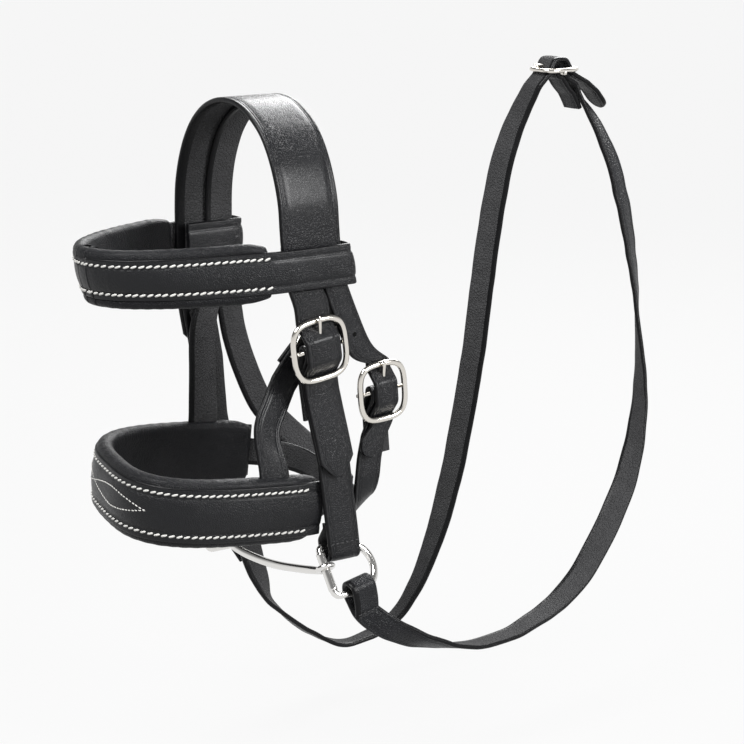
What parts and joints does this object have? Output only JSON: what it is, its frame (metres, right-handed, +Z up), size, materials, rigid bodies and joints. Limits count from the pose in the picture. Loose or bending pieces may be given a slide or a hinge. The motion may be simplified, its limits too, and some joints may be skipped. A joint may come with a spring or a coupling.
{
  "type": "miniature snaffle bridle with reins",
  "caption": "Miniature black leather English snaffle bridle with padded stitched browband and noseband, a curved-bar bit with D-shaped rings and buckled reins, shaped as if worn.",
  "frame": {"origin": "underside of the crown at the poll, on the middle plane of the head, where the bridle hangs on its peg", "axes": "+Z up, -Y towards the nose, +X towards the horse's near (left) side"},
  "size_m": [0.1205, 0.2987, 0.2928],
  "materials": {
    "leather": "black bridle leather, waxed grain, burnished and creased edges",
    "stitched_leather": "black bridle leather with rows of raised white thread stitching",
    "padding": "soft black leather folded over foam",
    "rein_leather": "black leather, grain outside and brushed flesh side inside",
    "nickel": "polished nickel plate",
    "bit_steel": "polished bright wire"
  },
  "bodies": {
    "headpiece": {"crownpiece": "leather", "throatlatch": "leather", "throatlatch_buckle": "nickel", "near_cheekpiece": "leather", "near_cheek_buckle": "nickel", "far_cheekpiece": "leather", "headstrap": "leather", "headstrap_buckle": "nickel", "near_hanger": "leather", "noseband_face": "stitched_leather", "noseband_padding": "padding", "noseband_billet": "leather", "noseband_buckle_strap": "leather", "noseband_buckle": "nickel"},
    "browband": {"browband_face": "stitched_leather", "browband_padding": "padding"},
    "bit": {"bit_mouthpiece": "bit_steel", "near_bit_ring": "bit_steel", "far_bit_ring": "bit_steel"},
    "reins": {"near_rein": "rein_leather", "far_rein": "rein_leather", "rein_buckle": "nickel"},
    "throatlatch_prong": {"throatlatch_tongue": "nickel"},
    "near_cheek_prong": {"near_cheek_tongue": "nickel"},
    "headstrap_prong": {"headstrap_tongue": "nickel"},
    "noseband_prong": {"noseband_tongue": "nickel"},
    "rein_prong": {"rein_tongue": "nickel"}
  },
  "joints": [
    {"name": "browband_slide", "type": "slide", "parent": "headpiece", "child": "browband", "axis": [0, 0, 1], "range_m": [-0.001, 0.001]},
    {"name": "bit_swing", "type": "hinge", "parent": "headpiece", "child": "bit", "pos_m": [0, 0.01547, -0.19403], "axis": [0.9988, 0.0493, -0.0055], "range_deg": [-0.5, 4]},
    {"name": "rein_swing", "type": "hinge", "parent": "bit", "child": "reins", "pos_m": [0.00521, 0.02047, -0.21376], "axis": [0.9996, -0.02, 0.0216], "range_deg": [-0.7, 2]},
    {"name": "throatlatch_tongue_lift", "type": "hinge", "parent": "headpiece", "child": "throatlatch_prong", "pos_m": [0.0452, 0.0382, -0.1265], "axis": [0, 0.9968, 0.0797], "range_deg": [0, 13]},
    {"name": "near_cheek_tongue_lift", "type": "hinge", "parent": "headpiece", "child": "near_cheek_prong", "pos_m": [0.0452, 0.0052, -0.1035], "axis": [0, 0.9908, 0.135], "range_deg": [0, 13]},
    {"name": "headstrap_tongue_lift", "type": "hinge", "parent": "headpiece", "child": "headstrap_prong", "pos_m": [0.0324, 0.012, -0.105], "axis": [0, 0.7141, -0.7001], "range_deg": [0, 13]},
    {"name": "noseband_tongue_lift", "type": "hinge", "parent": "headpiece", "child": "noseband_prong", "pos_m": [0.02198, 0.03141, -0.17471], "axis": [-0.0974, -0.0482, -0.9941], "range_deg": [0, 13]},
    {"name": "rein_tongue_lift", "type": "hinge", "parent": "reins", "child": "rein_prong", "pos_m": [0, 0.1712, 0.0027], "axis": [-1, 0, 0], "range_deg": [0, 13]}
  ]
}
